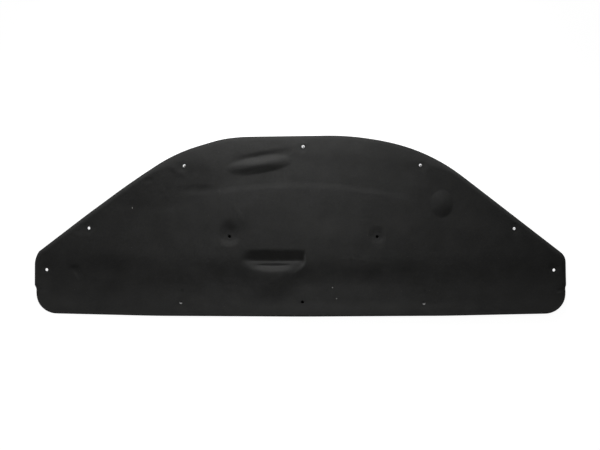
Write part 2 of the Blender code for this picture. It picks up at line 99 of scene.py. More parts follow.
@dataclass(frozen=True)
class Outline:
    """The cut edge of the pad: corners, clockwise seen from the face, each rounded by an arc."""

    corners: tuple[Corner, ...] = (
        Corner(-0.159, REAR_Y - 0.0032, 0.600),
        Corner(0.121, REAR_Y + 0.0007, 0.670),
        Corner(0.213, REAR_Y - 0.0128, 0.690),
        Corner(0.342, REAR_Y - 0.0437, 0.480),
        Corner(0.457, REAR_Y - 0.1318, 2.200),
        Corner(END_X - 0.1332, REAR_Y - 0.2134, 1.200),
        Corner(END_X - 0.0017, FRONT_Y + 0.1589, 0.033),
        Corner(END_X, NOTCH_Y + 0.0046, 0.008),
        Corner(END_X - 0.0022, NOTCH_Y - 0.0034, 0.008),
        Corner(END_X + 0.0019, FRONT_Y + 0.0090, 0.055),
        Corner(0.380, FRONT_Y + 0.0022, 4.000),
        Corner(0.003, FRONT_Y - 0.0001, 6.000),
        Corner(-0.376, FRONT_Y + 0.0021, 4.000),
        Corner(0.0045 - END_X, FRONT_Y + 0.0097, 0.055),
        Corner(0.0045 - END_X, NOTCH_Y - 0.0045, 0.008),
        Corner(-END_X, NOTCH_Y + 0.0049, 0.008),
        Corner(0.0005 - END_X, FRONT_Y + 0.1535, 0.086),
        Corner(0.0112 - END_X, FRONT_Y + 0.1706, 0.007),
        Corner(0.1362 - END_X, REAR_Y - 0.2076, 1.200),
        Corner(-0.445, REAR_Y - 0.1230, 2.200),
        Corner(-0.3265, REAR_Y - 0.0451, 0.420),
        Corner(-0.209, REAR_Y - 0.0100, 0.350),
    )
    shortest_straight: float = 0.001
    arc_points: int = 13
    points_at_once: int = 2000

    def line(self) -> Array:
        """The closed outline, one arc after another.

        An arc swings from its start to its end about its centre: each point is the sum of both spokes,
        weighted by the sines of the angles left and done, over the sine of the whole swing. Two arcs that
        would overlap on an edge are shortened alike.

        Returns:
            Points clockwise, centred on their own box, as rows of x and y.
        """
        at = np.array([(corner.x, corner.y) for corner in self.corners])
        radius = np.array([corner.radius for corner in self.corners])
        back, ahead = np.roll(at, 1, axis=0) - at, np.roll(at, -1, axis=0) - at
        back_length, ahead_length = np.linalg.norm(back, axis=1), np.linalg.norm(ahead, axis=1)
        back, ahead = back / back_length[:, None], ahead / ahead_length[:, None]
        half = np.arccos(np.clip((back * ahead).sum(axis=1), -1, 1)) / 2
        reach = radius / np.tan(half)
        room = (ahead_length - self.shortest_straight) / (reach + np.roll(reach, -1))
        tangent = (reach * np.minimum(1, np.minimum(room, np.roll(room, 1))))[:, None]
        spread = back + ahead
        spread /= np.linalg.norm(spread, axis=1)[:, None]
        centre = at + spread * tangent / np.cos(half)[:, None]
        start, end = (at + back * tangent - centre)[:, None], (at + ahead * tangent - centre)[:, None]
        swing = (math.pi - 2 * half)[:, None, None]
        share = np.linspace(0, 1, self.arc_points)[None, :, None]
        spokes = np.sin((1 - share) * swing) * start + np.sin(share * swing) * end
        line = (centre[:, None] + spokes / np.sin(swing)).reshape(-1, 2)
        return line - (line.min(axis=0) + line.max(axis=0)) / 2

    def ring(self, columns: int) -> Array:
        """The outline from its left end over the rear edge to its right end and back along the front edge.

        Args:
            columns: How many equal steps each of the two halves takes.

        Returns:
            Twice that many points, clockwise.
        """
        line = self.line()
        line = np.roll(line, -int(line[:, 0].argmin()), axis=0)
        line = np.concatenate([line, line[:1]])
        right = int(line[:, 0].argmax())
        halves = [self.stepped(part, columns)[:-1] for part in (line[: right + 1], line[right:])]
        return np.concatenate(halves)

    @staticmethod
    def stepped(line: Array, steps: int) -> Array:
        """The points at equal steps of length along an open line.

        Args:
            line: The line's own points.
            steps: How many steps.

        Returns:
            One more point than steps.
        """
        length = np.concatenate([[0], np.cumsum(np.linalg.norm(np.diff(line, axis=0), axis=1))])
        stops = np.linspace(0, length[-1], steps + 1)
        return np.stack([np.interp(stops, length, line[:, 0]), np.interp(stops, length, line[:, 1])], axis=1)

    def inside(self, points: Array) -> Array:
        """How far points lie from the cut edge: the least distance to any straight piece of the outline.

        Args:
            points: Rows of x and y.

        Returns:
            One distance for each point.
        """
        line = self.line()
        run = np.roll(line, -1, axis=0) - line
        squared = (run * run).sum(axis=1)
        nearest = []
        for block in np.array_split(points, len(points) // self.points_at_once + 1):
            gap = block[:, None] - line
            share = np.clip((gap * run).sum(axis=2) / squared, 0, 1)
            nearest.append(np.linalg.norm(gap - share[..., None] * run, axis=2).min(axis=1))
        return np.concatenate(nearest)


@dataclass(frozen=True)
class Zones:
    """How much each point belongs to the rear edge and to the front edge; the rest is flank."""

    rear: Array
    front: Array


@dataclass(frozen=True)
class EdgeSize:
    """A size with one value at the rear edge, one at the flanks and one at the front edge."""

    rear: float
    flank: float
    front: float

    def at(self, zones: Zones) -> Array:
        """The size at each point, mixed by the shares of its zones."""
        behind = self.flank + (self.rear - self.flank) * zones.rear
        return behind * (1 - zones.front) + self.front * zones.front


@dataclass(frozen=True)
class Rim:
    """The pressed rim, from the cut edge to the margin."""

    width: EdgeSize = EdgeSize(0.052, 0.013, 0.008)
    bend: EdgeSize = EdgeSize(0.70, 1.0, 1.0)
    edge_thick: EdgeSize = EdgeSize(0.0042, 0.003, 0.0086)
    lip_drop: float = 0.0013
    lip_width: float = 0.011
    rear_reach: float = 0.250
    rear_fade: float = 0.150
    front_band: float = 0.030

    def zones(self, x: Array, y: Array) -> Zones:
        """The shares of the rear and the front edge: each falls smoothly to nothing past its reach."""
        rear = 1 - smooth((np.abs(x) - self.rear_reach) / self.rear_fade)
        front = 1 - smooth((y - FRONT_Y - self.front_band) / self.front_band)
        return Zones(rear, front)

    def over(self, body: Array, inside: Array, x: Array, y: Array) -> Array:
        """The body with its rim: nearly a plane at the rear edge, and round elsewhere.

        With t the share of the rim's width, the rise is t (1 + b - b t), a parabola of bend b, plus
        (1 - b) (smooth t - t) t, which levels its inner end. Along the rear edge a narrow lip bends down
        further, by its drop times the square of the share of its width that is left.

        Args:
            body: The thickness that the rim rises to.
            inside: Distance from the cut edge.
            x: Places along the pad.
            y: Places across it.

        Returns:
            The thickness at each point.
        """
        zones = self.zones(x, y)
        share = np.clip(inside / self.width.at(zones), 0, 1)
        bend = self.bend.at(zones)
        rise = share * (1 + bend - bend * share) + (1 - bend) * (smooth(share) - share) * share
        low = self.edge_thick.at(zones)
        lip = self.lip_drop * zones.rear * np.clip(1 - inside / self.lip_width, 0, 1) ** 2
        return low + (body - low) * rise - lip


@dataclass(frozen=True)
class Body:
    """The body inside the rim: a slow crown, swollen in the middle, and the slope to the front margin."""

    rear_thick: float = 0.0092
    flank_thick: float = 0.0136
    front_thick: float = 0.0056
    front_lift: float = 0.0032
    thick: float = 0.0128
    swell: float = 0.0026
    swell_x: float = 0.035
    swell_half: float = 0.230
    swell_fade: float = 0.065
    rear_fade: float = 0.060
    start: float = 0.030
    run: float = 0.170
    front_margin: float = 0.080
    slope_run: float = 0.080
    end_run: float = 0.25
    shelf_x: float = -0.0685
    shelf_half_length: float = 0.110
    shelf_reach: float = 0.040

    def slope(self, x: Array, y: Array) -> Array:
        """One on the body and nothing on the front margin.

        The step is longer towards both ends, by a share of the squared distance from the middle, and it
        starts further forward on the level shelf round the pocket.
        """
        shelf = self.shelf_reach * (1 - smooth(np.abs(x - self.shelf_x) / self.shelf_half_length))
        run = self.slope_run * (1 + self.end_run * (x / END_X) ** 2)
        return smooth((y + shelf - FRONT_Y - self.front_margin) / run)

    def height(self, inside: Array, x: Array, y: Array, rear: Array) -> Array:
        """The thickness without the rim: the lower margin of the rear edge ends at the middle of the pad.

        Args:
            inside: Distance from the cut edge.
            x: Places along the pad.
            y: Places across it.
            rear: How much each point belongs to the rear edge.

        Returns:
            The thickness at each point.
        """
        low = self.flank_thick + (self.rear_thick - self.flank_thick) * rear * smooth(y / self.rear_fade)
        swell = 1 - smooth((np.abs(x - self.swell_x) - self.swell_half) / self.swell_fade)
        high = self.thick + self.swell * swell
        behind = low + (high - low) * smooth((inside - self.start) / self.run)
        lift = self.front_lift * np.clip(1 - (y - FRONT_Y) / self.front_margin, 0, 1) ** 2
        return self.front_thick + lift + (behind - self.front_thick) * self.slope(x, y)


class Foot(Enum):
    """The profile of a form: the power of its radius, and the power of one less that."""

    SOFT = (2.0, 2.0)
    ROUNDED = (1.5, 1.0)
    RIDGED = (1.25, 1.0)


@dataclass(frozen=True)
class Form:
    """A bump, or with a negative rise a dent, on an elliptical foot turned about its centre."""

    x: float
    y: float
    half_length: float
    half_width: float
    turn_deg: float
    rise: float
    foot: Foot = Foot.SOFT
    skew: float = 0.0
    twist: float = 0.0
    blunt: float = 0.0

    def height(self, x: Array, y: Array) -> Array:
        """The rise times one less a power of the radius, the whole to another power, as its foot says.

        Along and across are shares u and v of the half length and half width. A skew s and a twist t move
        the crest towards the front by adding (s + t u) (1 - v squared) to v. A bluntness b widens both tips,
        as u to the power 1 + b takes the place of u.

        Args:
            x: Places along the pad.
            y: Places across it.

        Returns:
            What the form adds at each point, nothing past its foot.
        """
        c, s = math.cos(math.radians(self.turn_deg)), math.sin(math.radians(self.turn_deg))
        dx, dy = x - self.x, y - self.y
        u, v = (c * dx + s * dy) / self.half_length, (c * dy - s * dx) / self.half_width
        v = v + (self.skew + self.twist * u) * np.clip(1 - v * v, 0, 1)
        u = np.abs(u) ** (1 + self.blunt)
        radius_power, power = self.foot.value
        return self.rise * np.clip(1 - np.hypot(u, v) ** radius_power, 0, 1) ** power


@dataclass(frozen=True)
class Panel:
    """The low raised panel in the middle. Its rear edge is a wide arc that ends crisply at the left."""

    rise: float = 0.0018
    step: float = 0.020
    top_y: float = 0.1165
    middle_x: float = -0.010
    arc_radius: float = 1.280
    left: float = -0.222
    left_fade: float = 0.016
    right: float = 0.380
    right_fade: float = 0.200
    level: float = 0.050
    fade: float = 0.200

    def height(self, x: Array, y: Array) -> Array:
        """A step along the arc, level behind its edge, that dies out forward and at both ends."""
        below = self.top_y - (x - self.middle_x) ** 2 / (2 * self.arc_radius) - y
        forward = 1 - smooth((below - self.level) / self.fade)
        ends = smooth((x - self.left) / self.left_fade) * smooth((self.right - x) / self.right_fade)
        return self.rise * smooth(below / self.step) * forward * ends


@dataclass(frozen=True)
class Pocket:
    """The relief pocket: a plane rear wall, a hollow front wall in the shape of a boat, and two ends."""

    x: float = -0.0630
    valley_y: float = -0.0890
    left_half: float = 0.0985
    right_half: float = 0.0780
    foot_half: float = 0.038
    rear_wall: float = 0.0270
    front_wall: float = 0.0380
    left_wall: float = 0.040
    right_wall: float = 0.009
    hollow: float = 0.80
    depth: float = 0.0084

    def height(self, x: Array, y: Array) -> Array:
        """Less than nothing inside the pocket, by its depth times a share.

        The share falls with the share t of the way up a wall, as 1 - t on the rear wall and as
        (1 - t) (1 - h t) on the front wall of hollow h. It falls to nothing at both ends, as a smooth step.
        The front wall narrows with t squared.
        """
        aside, v = x - self.x, y - self.valley_y
        rise = np.where(v > 0, v / self.rear_wall, -v / self.front_wall)
        half = np.where(aside < 0, self.left_half, self.right_half)
        narrowing = np.where(v < 0, (self.foot_half - half) * rise**2, 0)
        end_wall = np.where(aside < 0, self.left_wall, self.right_wall)
        ends = smooth((half + narrowing - np.abs(aside)) / end_wall)
        hollow = 1 - np.where(v < 0, self.hollow, 0) * rise
        return -self.depth * np.clip(1 - rise, 0, 1) * hollow * ends


@dataclass(frozen=True)
class Dish:
    """How far the dish round a clip seat reaches to the sides, rearward and forward."""

    aside: float = 0.018
    rearward: float = 0.018
    forward: float = 0.018

    def reach(self, dx: Array, dy: Array) -> Array:
        """The distance to the rim of the dish in each direction: the radius of an ellipse there."""
        along = np.where(dy > 0, self.rearward, self.forward)
        away = np.maximum(np.hypot(dx, dy), 1e-9)
        return 1 / np.hypot(dx / away / self.aside, dy / away / along)


DISHES = {
    "rear_middle": Dish(0.016, 0.016, 0.016),
    "middle_left": Dish(0.032, 0.050, 0.027),
    "middle_right": Dish(0.024, 0.030, 0.020),
    "front_left": Dish(0.017, 0.032, 0.017),
    "front_middle": Dish(0.017, 0.017, 0.017),
    "front_right": Dish(0.017, 0.032, 0.017),
}


@dataclass(frozen=True)
class ClipSeat:
    """A clip hole in its flat seat, with the dish that blends the seat into the face."""

    name: str
    x: float
    y: float
    thick: float
    dish: Dish
    radius: float = 0.009

    def share(self, x: Array, y: Array) -> Array:
        """Nothing on the seat and one outside the dish, with a smooth step between."""
        dx, dy = x - self.x, y - self.y
        away = np.hypot(dx, dy)
        return smooth((away - self.radius) / (self.dish.reach(dx, dy) - self.radius))

    def over(self, height: Array, x: Array, y: Array) -> Array:
        """The height with the seat pressed into it."""
        return self.thick + (height - self.thick) * self.share(x, y)


def clip_seats(record: Mapping[str, Any]) -> tuple[ClipSeat, ...]:
    """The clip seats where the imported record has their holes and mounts.

    Args:
        record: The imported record, with an opening for each hole and a mount on each seat.

    Returns:
        One seat for each hole.
    """
    thick = {mount["name"]: mount["pos_m"][2] for mount in record["mounts"]}
    seats = []
    for opening in record["physics"]["openings"]:
        name = opening["name"].removesuffix("_clip_hole")
        low, high = opening["box_m"]
        x, y = (low[0] + high[0]) / 2, (low[1] + high[1]) / 2
        seats.append(ClipSeat(name, x, y, thick[f"{name}_clip_seat"], DISHES.get(name, Dish())))
    return tuple(seats)


@dataclass(frozen=True)
class Waviness:
    """Slight unevenness of a pressed board: a sum of level waves in random directions."""

    rise: float
    longest: float
    shortest: float
    waves: int
    seed: int

    def height(self, x: Array, y: Array) -> Array:
        """The sum of cosines of random direction, length and phase, scaled to the rise as its spread."""
        draw = np.random.default_rng(self.seed)
        length = self.shortest * (self.longest / self.shortest) ** draw.random(self.waves)
        heading = draw.random(self.waves) * math.pi
        phase = draw.random(self.waves) * 2 * math.pi
        turns = 2 * math.pi / length
        total = np.zeros_like(x)
        for k, angle, start in zip(turns, heading, phase):
            total += np.cos(k * (x * math.cos(angle) + y * math.sin(angle)) + start)
        return self.rise * total * math.sqrt(2 / self.waves)


@dataclass(frozen=True)
class MouldedFace:
    """The height of the moulded face over the flat back."""

    outline: Outline
    seats: tuple[ClipSeat, ...]
    rim: Rim = Rim()
    body: Body = Body()
    panel: Panel = Panel()
    pocket: Pocket = Pocket()
    forms: tuple[Form, ...] = (
        Form(-0.1070, REAR_Y - 0.0768, 0.088, 0.0220, 10.8, 0.0065, Foot.RIDGED, 0.0, 0.24, 0.35),
        Form(-0.1000, REAR_Y - 0.0555, 0.090, 0.0165, 9.6, -0.0024, blunt=0.6),
        Form(0.3692, 0.0590, 0.029, 0.036, 0, 0.0066, Foot.ROUNDED),
        Form(-0.272, 0.0950, 0.060, 0.0170, 2, -0.0016),
        Form(-0.193, -0.0490, 0.020, 0.0100, 0, 0.0009),
        Form(-0.160, 0.0300, 0.040, 0.0100, -62, 0.0009),
        Form(-0.398, 0.1195, 0.020, 0.0090, 4, -0.0012),
        Form(-0.322, 0.1440, 0.042, 0.0130, -33, 0.0012),
        Form(-0.356, 0.0290, 0.036, 0.0330, 0, 0.0012),
        Form(-0.571, -0.0220, 0.020, 0.0110, -20, 0.0010),
        Form(-0.590, -0.1130, 0.034, 0.0150, -40, -0.0016),
        Form(-END_X, NOTCH_Y, 0.030, 0.008, 0, -0.0013),
        Form(END_X, NOTCH_Y, 0.030, 0.008, 0, -0.0013),
    )
    waviness: tuple[Waviness, ...] = (
        Waviness(0.00022, 0.160, 0.050, 40, 11),
        Waviness(0.00006, 0.040, 0.016, 60, 12),
    )

    def height(self, points: Array) -> Array:
        """The body with its rim, then the sum of all forms, then the clip seats pressed into it.

        Args:
            points: Rows of x and y.

        Returns:
            The thickness of the pad at each point.
        """
        x, y = points.T
        inside = self.outline.inside(points)
        body = self.body.height(inside, x, y, self.rim.zones(x, y).rear)
        height = self.rim.over(body, inside, x, y)
        height += self.panel.height(x, y) + self.pocket.height(x, y)
        for form in self.forms:
            height += form.height(x, y)
        for waves in self.waviness:
            height += waves.height(x, y) * smooth(inside / self.body.start)
        for seat in self.seats:
            height = seat.over(height, x, y)
        return height

    def pressed(self, height: Array) -> Array:
        """How hard the board is pressed: one at the thin cut edge and nothing at full thickness."""
        thin = self.rim.edge_thick.flank
        return 1 - np.clip((height - thin) / (self.body.thick - thin), 0, 1)


@dataclass
class Shell:
    """A closed mesh gathered from patches whose edges meet point on point."""

    points: list[Array] = field(default_factory=list)
    pressed: list[Array] = field(default_factory=list)
    faces: list[Array] = field(default_factory=list)
    count: int = 0

    def add(self, points: Array, faces: Array, pressed: Array | float) -> None:
        """Takes one patch.

        Args:
            points: Rows of x, y and z.
            faces: Rows of indices into those points, three or four to a row.
            pressed: How hard the board is pressed there.
        """
        self.points.append(points)
        self.pressed.append(np.broadcast_to(pressed, len(points)))
        self.faces.append(faces + self.count)
        self.count += len(points)

    def mesh(self, name: str, weld: float = 1e-7) -> bpy.types.Mesh:
        """One mesh in which points nearer than the weld are one, and points of no face are gone.

        Args:
            name: The mesh's name.
            weld: The size of the lattice on which two points count as the same.

        Returns:
            The mesh, with the pressing as a point attribute.
        """
        points = np.concatenate(self.points)
        keys = np.round(points / weld).astype(np.int64)
        _, first, same = np.unique(keys, axis=0, return_index=True, return_inverse=True)
        faces = [first[same.reshape(-1)[patch]] for patch in self.faces]
        used, index = np.unique(np.concatenate([patch.ravel() for patch in faces]), return_inverse=True)
        ends = np.cumsum([patch.size for patch in faces])[:-1]
        rows: list[list[int]] = []
        for part, patch in zip(np.split(index.reshape(-1), ends), faces):
            rows += part.reshape(patch.shape).tolist()
        mesh = bpy.data.meshes.new(name)
        mesh.from_pydata(points[used].tolist(), [], rows)
        mesh.attributes.new("pressed", "FLOAT", "POINT")
        values = np.concatenate(self.pressed)[used].astype(np.float32)
        mesh.attributes["pressed"].data.foreach_set("value", values)
        return mesh


def quads(index: Array, closed: bool = False) -> Array:
    """The four-cornered cells of a grid of indices, row by row.

    Args:
        index: A grid of point indices.
        closed: Whether the last column joins the first.

    Returns:
        Rows of four indices.
    """
    if closed:
        index = np.concatenate([index, index[:, :1]], axis=1)
    cells = (index[:-1, :-1], index[:-1, 1:], index[1:, 1:], index[1:, :-1])
    return np.stack(cells, axis=-1).reshape(-1, 4)


@dataclass(frozen=True)
class PadShell:
    """Builds the closed surface of the pad: the face, the cut walls of its edge and holes, and the back.

    The face is one grid. Its columns run from the front half of the outline over a spine to the rear half,
    and its rows follow the outline inwards to that spine.
    """

    face: MouldedFace
    columns: int = 522
    rows: int = 80
    row_start: float = 0.75
    edge_rows: tuple[float, ...] = (0.0, 0.0025, 0.0055)
    spine_half: float = 0.600
    hole_radius: float = 0.004
    hole_round: float = 0.0005
    hole_half_cells: int = 3
    hole_reach_cells: int = 8
    edge_round: float = 0.0009
    back_round: float = 0.0004
    round_steps: int = 3
    wall_rows: int = 3
    back_every: int = 7
    back_clear: float = 0.012
    sharp_deg: float = 50.0

    def ring(self, inset: float) -> Array:
        """The outline moved inwards along its normals by the inset."""
        ring = self.face.outline.ring(self.columns)
        run = np.roll(ring, -1, axis=0) - np.roll(ring, 1, axis=0)
        inward = np.stack([run[:, 1], -run[:, 0]], axis=1) / np.linalg.norm(run, axis=1)[:, None]
        return ring + inward * inset

    def lattice(self) -> Array:
        """The plan of the face: columns of points from the front edge over the spine to the rear edge.

        The spine lies midway between both edges. A row is the share s of the way from an edge to the
        spine, with s = t (a + (1 - a) t), so that the rows lie closer together near the edge.

        Returns:
            A grid of rows, columns, and x and y.
        """
        ring = self.ring(self.edge_round)
        rear = ring[: self.columns + 1]
        front = np.concatenate([ring[:1], ring[self.columns :][::-1]])
        spine_x = self.spine_half * np.linspace(-1, 1, self.columns + 1)
        middle = [np.interp(spine_x, side[:, 0], side[:, 1]) for side in (rear, front)]
        spine = np.stack([spine_x, (middle[0] + middle[1]) / 2], axis=1)
        step = np.linspace(0, 1, self.rows + 1)[1:]
        share = np.concatenate([self.edge_rows, step * (self.row_start + (1 - self.row_start) * step)])
        share = share[:, None, None]
        return np.concatenate([front + (spine - front) * share, (rear + (spine - rear) * share)[::-1][1:]])

    def draw_to_hole(self, plan: Array, seat: ClipSeat) -> tuple[int, int]:
        """Draws the cells round a hole together, so that a square of cells becomes the rim of the hole.

        A point at square radius k, in cells, goes from the circle at k = half the square to its own place
        at k = the reach, in a straight mix of both. On the circle, its angle is an eighth of a turn for
        each half side of the square.

        Args:
            plan: The grid of the face, which is changed.
            seat: The clip seat whose hole it is.

        Returns:
            The row and the column of the hole's centre.
        """
        centre = np.array([seat.x, seat.y])
        gaps = np.hypot(plan[..., 0] - seat.x, plan[..., 1] - seat.y)
        row, column = (int(place) for place in np.unravel_index(gaps.argmin(), gaps.shape))
        reach = self.hole_reach_cells
        window = plan[row - reach : row + reach + 1, column - reach : column + reach + 1]
        v, u = np.meshgrid(np.arange(-reach, reach + 1.0), np.arange(-reach, reach + 1.0), indexing="ij")
        away = np.maximum(np.abs(u), np.abs(v))
        wide = np.abs(v) <= np.abs(u)
        across = np.where(wide, v / np.where(u == 0, 1, u), u / np.where(v == 0, 1, v))
        swing = across * math.pi / 4
        angle = np.where(wide, (u < 0) * math.pi + swing, np.sign(v) * math.pi / 2 - swing)
        along = plan[row, column + 1] - plan[row, column - 1]
        along = along / np.linalg.norm(along)
        side = np.array([-along[1], along[0]])
        rim = self.hole_radius + self.hole_round
        circle = centre + rim * (np.cos(angle)[..., None] * along + np.sin(angle)[..., None] * side)
        mix = np.clip((away - self.hole_half_cells) / (reach - self.hole_half_cells), 0, 1)[..., None]
        moved = window + (centre - plan[row, column]) * (1 - smooth(away / reach))[..., None]
        window[:] = circle * (1 - mix) + moved * mix
        return row, column

    def hole_loop(self) -> Array:
        """Rows and columns, from a hole's centre, of the points of its rim, counter-clockwise."""
        half = self.hole_half_cells
        side = np.arange(-half, half)
        edge = np.full(2 * half, half)
        columns = np.concatenate([edge, -side, -edge, side])
        rows = np.concatenate([side, edge, -side, -edge])
        return np.stack([rows, columns], axis=1)

    def wall(self, shell: Shell, top: Array, outward: Array, rounding: float, foot: float) -> Array:
        """A cut wall under a closed line: a quarter round, a straight drop, and a small round at the back.

        Args:
            shell: What the wall is added to.
            top: The line at the top, as rows of x, y and z, with the board on its right.
            outward: Unit steps in x and y away from the board.
            rounding: Radius of the quarter round.
            foot: Radius of the round at the back.

        Returns:
            The line at the back.
        """
        turn = np.linspace(0, math.pi / 2, self.round_steps + 1)
        aside, drop = rounding * np.sin(turn), rounding * (1 - np.cos(turn))
        upper = top[:, 2] - drop[:, None]
        lower = np.linspace(1, 0, self.wall_rows + 1)[1:, None] * (upper[-1] - foot) + foot
        back = foot * (1 - np.sin(turn[1:]))[:, None] * np.ones(len(top))
        straight = np.full(self.wall_rows, rounding)
        out = np.concatenate([aside, straight, rounding - foot * (1 - np.cos(turn[1:]))])
        z = np.concatenate([upper, lower, back])
        xy = top[:, :2] + outward * out[:, None, None]
        points = np.concatenate([xy, z[..., None]], axis=2)
        index = np.arange(z.size).reshape(z.shape)
        shell.add(points.reshape(-1, 3), quads(index, closed=True), 1.0)
        return points[-1]

    def back(self, shell: Shell, edge: Array, holes: Sequence[Array], plan: Array) -> None:
        """The flat back between the foot of the edge and the feet of the holes.

        Args:
            shell: What the back is added to.
            edge: The closed line at the foot of the outer wall.
            holes: The closed lines at the feet of the hole walls.
            plan: The grid of the face, from which every few points are taken for the inner points.
        """
        step = self.back_every
        inner = plan[step:-step:step, step:-step:step].reshape(-1, 2)
        for seat in self.face.seats:
            inner = inner[np.hypot(inner[:, 0] - seat.x, inner[:, 1] - seat.y) > self.back_clear]
        loops = [edge[:, :2], *(hole[:, :2] for hole in holes)]
        starts = np.cumsum([0, *map(len, loops)])
        edges = [np.stack([np.arange(len(loop)), np.roll(np.arange(len(loop)), -1)], axis=1) + start
                 for loop, start in zip(loops, starts)]
        flat = np.concatenate([*loops, inner])
        faces = np.array(delaunay_2d_cdt(flat.tolist(), np.concatenate(edges).tolist(), [], 1, 1e-7)[2])
        middle = flat[faces].mean(axis=1)
        for seat in self.face.seats:
            keep = np.hypot(middle[:, 0] - seat.x, middle[:, 1] - seat.y) > self.hole_radius
            faces, middle = faces[keep], middle[keep]
        shell.add(np.column_stack([flat, np.zeros(len(flat))]), faces[:, ::-1], 0.3)

    def build(self, name: str) -> bpy.types.Object:
        """Puts the face, the walls and the back together as one closed piece.

        Args:
            name: The piece's name.

        Returns:
            The object, at the origin, with its place in its mesh.
        """
        shell = Shell()
        plan = self.lattice()
        centres = [self.draw_to_hole(plan, seat) for seat in self.face.seats]
        grid_shape = plan.shape[:2]
        height = self.face.height(plan.reshape(-1, 2))
        points = np.column_stack([plan.reshape(-1, 2), height])
        index = np.arange(len(points)).reshape(grid_shape)
        whole = np.ones((grid_shape[0] - 1, grid_shape[1] - 1), bool)
        half = self.hole_half_cells
        for row, column in centres:
            whole[row - half : row + half, column - half : column + half] = False
        shell.add(points, quads(index)[whole.ravel()], self.face.pressed(height))

        top = points.reshape(*grid_shape, 3)
        edge = np.concatenate([top[-1], top[0, -2:0:-1]])
        run = np.roll(edge, -1, axis=0) - np.roll(edge, 1, axis=0)
        outward = np.stack([-run[:, 1], run[:, 0]], axis=1) / np.linalg.norm(run[:, :2], axis=1)[:, None]
        back_edge = self.wall(shell, edge, outward, self.edge_round, self.back_round)
        feet = []
        for (row, column), seat in zip(centres, self.face.seats):
            loop = self.hole_loop() + (row, column)
            rim = top[loop[:, 0], loop[:, 1]]
            inward = (np.array([seat.x, seat.y]) - rim[:, :2]) / (self.hole_radius + self.hole_round)
            feet.append(self.wall(shell, rim, inward, self.hole_round, 0.0))
        self.back(shell, back_edge, feet, plan)

        mesh = shell.mesh(name)
        mesh.shade_smooth()
        mesh.set_sharp_from_angle(angle=math.radians(self.sharp_deg))
        piece = bpy.data.objects.new(name, mesh)
        bpy.context.scene.collection.objects.link(piece)
        return piece


class Reading:
    """A number that a shader reads from a socket, on which Python's operators add Math nodes."""

    def __init__(self, graph: Graph, socket: bpy.types.NodeSocket) -> None:
        self.graph = graph
        self.socket = socket

    def maths(self, operation: str, *others: Any, first: Any = None) -> Reading:
        """One Math node on this reading and others; first goes before this reading.

        Args:
            operation: The Math node's operation.
            others: Numbers or readings after this one.
            first: A number or reading before this one.

        Returns:
            The result.
        """
        terms = [*([] if first is None else [first]), self, *others]
        node = self.graph.node("ShaderNodeMath", {"operation": operation}, dict(enumerate(terms)))
        return Reading(self.graph, node.outputs[0])

    def __add__(self, other: Any) -> Reading:
        """This plus the other."""
        return self.maths("ADD", other)

    def __sub__(self, other: Any) -> Reading:
        """This less the other."""
        return self.maths("SUBTRACT", other)

    def __mul__(self, other: Any) -> Reading:
        """This times the other."""
        return self.maths("MULTIPLY", other)

    def __rsub__(self, other: Any) -> Reading:
        """The other less this."""
        return self.maths("SUBTRACT", first=other)

    __radd__ = __add__
    __rmul__ = __mul__

    def larger(self, other: Any) -> Reading:
        """The larger of the two."""
        return self.maths("MAXIMUM", other)

    def between(self, low: float, high: float) -> Reading:
        """The share of the way from low to high, held between 0 and 1 and eased at both ends."""
        settings = {"interpolation_type": "SMOOTHSTEP"}
        links = {"Value": self, "From Min": low, "From Max": high}
        return Reading(self.graph, self.graph.node("ShaderNodeMapRange", settings, links).outputs["Result"])


